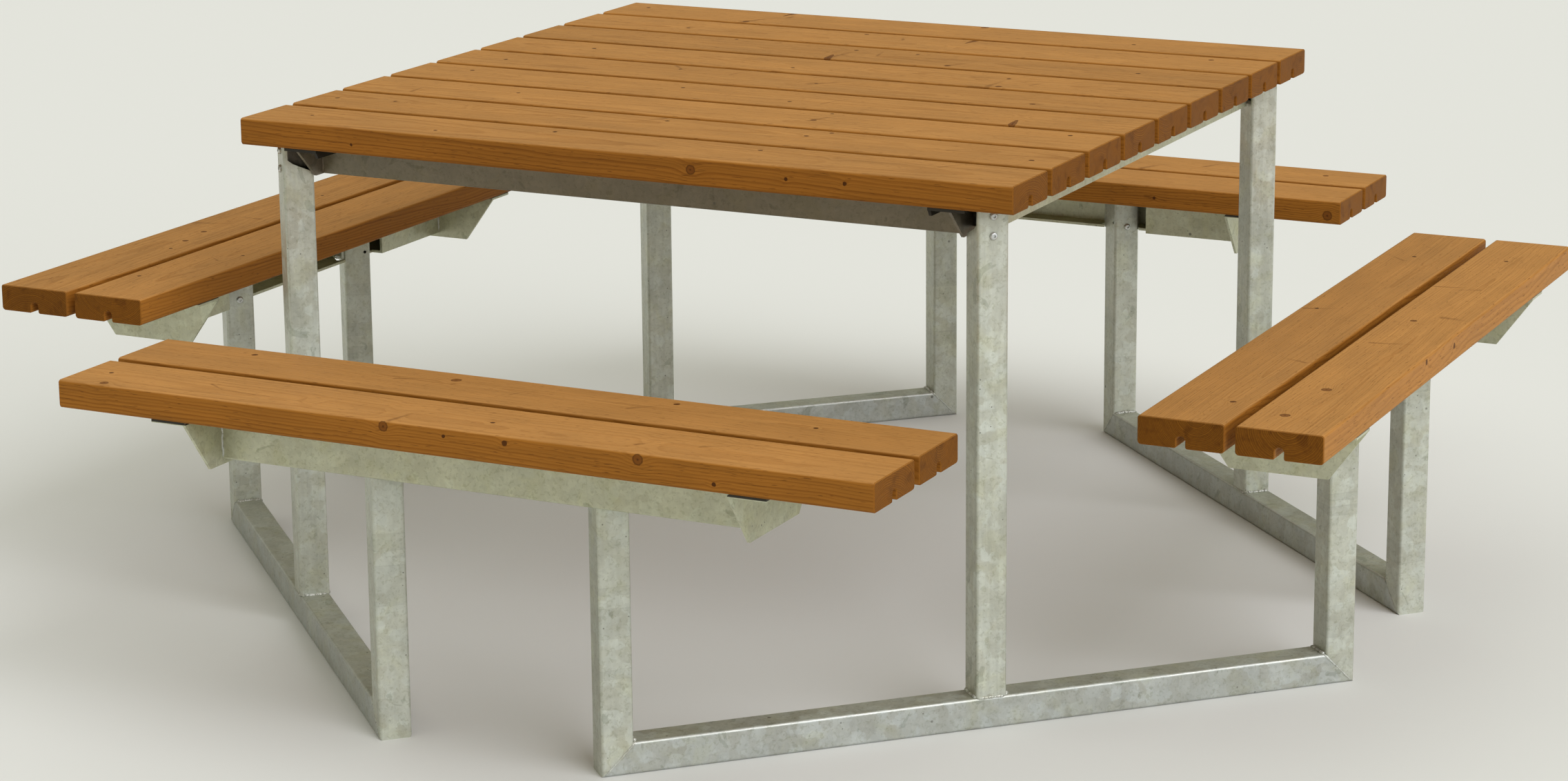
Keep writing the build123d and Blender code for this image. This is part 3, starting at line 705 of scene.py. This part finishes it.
def steel_material(name, group, tint, runs=0.2, bands=0.0, shift=(0, 0, 0), metallic=0.5, painted_shade=None):
    """Galvanised steel. Shift moves its pattern, in mm. A painted shade (axis, sign, start) turns it nearly
    black past start mm on a signed axis, except on faces that look up.
    """
    paint, tree, shader = new_material(name)
    coordinates = add_node(tree, "ShaderNodeTexCoord")
    place = add_node(tree, "ShaderNodeMapping", Vector=coordinates.outputs["Object"],
                     Scale=(1 / MM, 1 / MM, 1 / MM)).outputs[0]
    moved = vectors(tree, "ADD", place, shift).outputs[0]
    normal = add_node(tree, "ShaderNodeNewGeometry").outputs["True Normal"]
    upward = add_node(tree, "ShaderNodeSeparateXYZ", Vector=normal).outputs["Z"]
    # Rounded edges that face partly up, between sides and tops, get the painted highlight
    highlight_band = product(tree, fade(tree, upward, 0.40, 0.60), fade(tree, upward, 0.75, 0.92, 1.0, 0.0))
    # Faces that look up get painted shade and more roughness
    zinc = use_group(tree, group, Place=moved, Tint=(*tint, 1), Runs=runs, Bands=bands,
                     Dirt=fade(tree, upward, 0.85, 0.98), Edge=highlight_band)
    colour = zinc.outputs["Color"]
    # Painted shade: nearly black past the start, where the steel sits in shadow under the planks or in the
    # corner by a leg
    if painted_shade:
        axis, sign, start = painted_shade
        spot = add_node(tree, "ShaderNodeSeparateXYZ", Vector=place).outputs[axis]
        dark = product(tree, fade(tree, product(tree, spot, sign), start, start + 1.0),
                       fade(tree, upward, 0.5, 0.8, 1.0, 0.0))
        colour = blend(tree, "MIX", dark, colour, SHADE_BLACK)
    put(shader.inputs["Base Color"], colour)
    put(shader.inputs["Roughness"], zinc.outputs["Roughness"])
    shader.inputs["Metallic"].default_value = metallic
    bump = add_node(tree, "ShaderNodeBump", Strength=1.0, Distance=MM, Height=zinc.outputs["Height"])
    put(shader.inputs["Normal"], bump.outputs[0])
    return paint


def finish_steel():
    """Gives every steel node its material: the last one whose key is in the node's name, except for
    side brackets and for bolts, nuts and screws.
    """
    group = zinc_group()
    seat_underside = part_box("front_bench_plank_outer")[0].z / MM
    web_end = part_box("front_cross_beam")[0].y / -MM
    materials = {
        "leg": steel_material("zinc_legs", group, PALE, runs=0.7, bands=0.2),
        "seat_leg": steel_material("zinc_seat_legs", group, PALE, runs=0.4, bands=0.6,
                                   shift=(170, 60, 20)),
        "rail": steel_material("zinc_rails", group, RAIL_GREY, shift=(400, 90, 33)),
        # Brackets and side beams get painted shade where they sit under the planks
        "bracket": steel_material("zinc_brackets", group, OLIVE, runs=0.3, shift=(70, 900, 11),
                                  painted_shade=("Z", 1, seat_underside - END_BRACKET_SHADE)),
        "side_bracket": steel_material("zinc_side_brackets", group, OLIVE, runs=0.3,
                                       shift=(70, 900, 11),
                                       painted_shade=("Z", 1, seat_underside - SIDE_BRACKET_SHADE)),
        "bench_beam": steel_material("zinc_bench_beams", group, OLIVE, runs=0.15, shift=(800, 30, 5)),
        "side_beam": steel_material("zinc_side_beams", group, OLIVE, shift=(10, 60, 9),
                                    painted_shade=("Y", -1, web_end - WEB_SHADE)),
        # Painted shade in the tints of the parts under the table top
        "cross_beam": steel_material("zinc_cross_beams", group, SHADED_BROWN, shift=(30, 600, 9)),
        "gusset": steel_material("zinc_gussets", group, SHADED_UMBER, shift=(300, 600, 9)),
        "table_corner_tabs": steel_material("zinc_tabs", group, SHADED_TAB_BROWN),
        "bolts": steel_material("bolt_zinc", group, BOLT_GREY, metallic=0.9),
        "weld": steel_material("weld_zinc", group, WELD_GREY, runs=0.0, shift=(60, 20, 9)),
    }
    for name in frame["nodes"]:
        kinds = [key for key in materials if key in name]
        if name.startswith(("left_bench_bracket", "right_bench_bracket")):
            kinds = ["side_bracket"]
        if name.endswith(("bolts", "nuts", "screws")):
            kinds = ["bolts"]
        if kinds:
            wear(name, materials[kinds[-1]])
    return materials


# ---------------------------------------------------------------- welds

def rounded_tube(path, radii, sides=8):
    """Corners and faces of a closed tube of changing radius along a path."""
    points, faces = [], []
    for index, (spot, radius) in enumerate(zip(path, radii)):
        before = path[max(index - 1, 0)]
        after = path[min(index + 1, len(path) - 1)]
        forward = (after - before).normalized()
        first = forward.orthogonal().normalized()
        second = forward.cross(first)
        for side in range(sides):
            angle = 2 * math.pi * side / sides
            points.append(spot + radius * (math.cos(angle) * first + math.sin(angle) * second))
    for ring in range(len(path) - 1):
        for side in range(sides):
            beside = (side + 1) % sides
            faces.append((ring * sides + side, ring * sides + beside,
                          (ring + 1) * sides + beside, (ring + 1) * sides + side))
    faces.append(tuple(reversed(range(sides))))
    faces.append(tuple((len(path) - 1) * sides + side for side in range(sides)))
    return points, faces


def lump(share, size, place):
    return size * math.exp(-((share - place) * LUMP_SHARPNESS) ** 2)


def bead(start, finish, radius, draw):
    """A hand-laid weld: overlapping ripples that wander a little, thicker where it starts and stops."""
    length = (finish - start).length
    steps = max(LEAST_STEPS, round(length / BEAD_STEP))
    slow, quick, fine = [draw.uniform(0, 2 * math.pi) for _ in range(3)]
    drift = Vector([draw.uniform(-1, 1) for _ in range(3)]).normalized()
    path, radii = [], []
    for step in range(steps + 1):
        share = step / steps
        run = share * length / MM
        wander = math.sin(SLOW_WAVE * run + slow) + QUICK_WANDER * math.sin(QUICK_WAVE * run + quick)
        path.append(start.lerp(finish, share) + WANDER * radius * wander * drift)
        ripple = 1 + RIPPLE * math.sin(RIPPLE_WAVE * run + fine) + SWELL * math.sin(SWELL_WAVE * run + quick)
        ending = min(1.0, THIN_END + END_GROWTH * min(share, 1 - share))
        radii.append(radius * ripple * ending * (1 + lump(share, *STOP_LUMP) + lump(share, *START_LUMP)))
    return rounded_tube(path, radii)


def add_beads(name, seams, quarters, material, draw):
    """One mesh of welds. A seam is its start and finish (along, out, up) as on the front of the table,
    and its radius. The quarter turns bring it to its own side or corner.
    """
    turn = Matrix.Rotation(math.pi / 2 * quarters, 4, "Z")
    points, faces = [], []
    for start, finish, radius in seams:
        ends = [turn @ Vector((along, -out, up)) for along, out, up in (start, finish)]
        more_points, more_faces = bead(*ends, radius, draw)
        faces += [tuple(len(points) + corner for corner in face) for face in more_faces]
        points += more_points
    mesh = bpy.data.meshes.new(name)
    mesh.from_pydata([tuple(point) for point in points], [], faces)
    mesh.polygons.foreach_set("use_smooth", [True] * len(mesh.polygons))
    mesh.materials.append(material)
    piece = bpy.data.objects.new(name, mesh)
    scene.collection.objects.link(piece)
    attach(piece, BODY)


def weld_frames(material, draw):
    """Beads where each tall leg stands on its rail and where the seat legs meet the rail's ends."""
    low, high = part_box("ground_rail_front_right")
    tube = high.z - low.z
    half = ((high.x - low.x) * math.sqrt(2) - tube) / 2
    outer = high.x * math.sqrt(2) - half
    inner = outer - tube
    foot = tube / 2
    seams = []
    for face in (outer - BEAD_SUNK, inner + BEAD_SUNK):
        seams.append(((BEAD_INSET - foot, face, tube), (foot - BEAD_INSET, face, tube), FOOT_SIDE_BEAD))
        for end in ENDS:
            seams.append(((end * (half - BEAD_INSET), face, BEAD_INSET), (end * (half - tube), face, tube),
                          MITRE_SIDE_BEAD))
    for end in ENDS:
        for along, up, radius in ((foot, tube, FOOT_END_BEAD), (half - tube, tube, MITRE_TOP_BEAD),
                                  (half - BEAD_SUNK, BEAD_INSET, MITRE_END_BEAD)):
            seams.append(((end * along, inner + BEAD_INSET, up), (end * along, outer - BEAD_INSET, up),
                          radius))
    for quarter, corner in enumerate(CORNER_NAMES):
        add_beads(f"frame_welds_{corner}", seams, quarter + 0.5, material, draw)


def weld_benches(material, draw):
    """Upright beads where the brackets meet the ends of the bench beams."""
    low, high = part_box("front_bench_beam")
    seams = [((end * high.x, face, low.z + BEAD_LIFT), (end * high.x, face, high.z - BENCH_BEAD_DROP),
              BENCH_BEAD) for end in ENDS for face in (-low.y, -high.y)]
    for quarter, bench in enumerate(SIDE_NAMES):
        add_beads(f"bench_welds_{bench}", seams, quarter, material, draw)


def weld_table(material, draw):
    """Upright beads where the gussets meet the ends of the cross beams."""
    low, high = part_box("front_cross_beam")
    seams = [((end * high.x, -low.y, low.z + BEAD_LIFT), (end * high.x, -low.y, high.z - TABLE_BEAD_DROP),
              TABLE_BEAD) for end in ENDS]
    for quarter, side in ((0, "front"), (2, "back")):
        add_beads(f"cross_beam_welds_{side}", seams, quarter, material, draw)


finish_planks()
steel = finish_steel()
weld_draw = random.Random(WELD_SEED)
weld_frames(steel["weld"], weld_draw)
weld_benches(steel["weld"], weld_draw)
# The beads on the cross beams take the gussets' painted shade
weld_table(steel["gusset"], weld_draw)
make_camera()
make_lights()
make_floor()
scene.view_settings.view_transform = "Standard"
